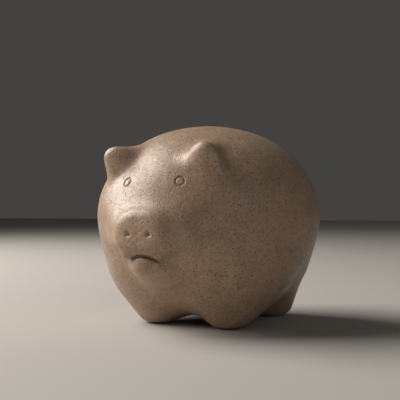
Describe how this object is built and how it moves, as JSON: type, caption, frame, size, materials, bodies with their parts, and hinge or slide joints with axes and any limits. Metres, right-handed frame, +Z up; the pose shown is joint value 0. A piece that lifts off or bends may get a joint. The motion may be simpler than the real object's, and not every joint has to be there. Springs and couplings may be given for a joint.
{
  "type": "piggy bank",
  "caption": "Round hollow stoneware pig that stands on stub legs, with a coin slot in its back and a rubber stopper in its belly.",
  "frame": {"origin": "on the table that the four feet stand on, under the middle of the bounding box", "axes": "+Z up; +Y from the muzzle towards the tail; +X to the pig's left"},
  "size_m": [0.0956, 0.104, 0.0855],
  "materials": {
    "clay": "unglazed sandy stoneware, burnished to a soft sheen",
    "stopper_rubber": "matt moulded natural rubber"
  },
  "bodies": {
    "pig": {"head_shell": "clay", "rump_shell": "clay", "belly_ring": "clay", "muzzle": "clay", "lower_lip": "clay", "ear_left": "clay", "ear_right": "clay", "leg_front_left": "clay", "leg_front_right": "clay", "leg_rear_left": "clay", "leg_rear_right": "clay", "tail": "clay"},
    "stopper": {"belly_stopper": "stopper_rubber"}
  },
  "joints": [
    {"name": "stopper_pull", "type": "slide", "parent": "pig", "child": "stopper", "axis": [0, 0, -1], "range_m": [0, 0.03]}
  ]
}
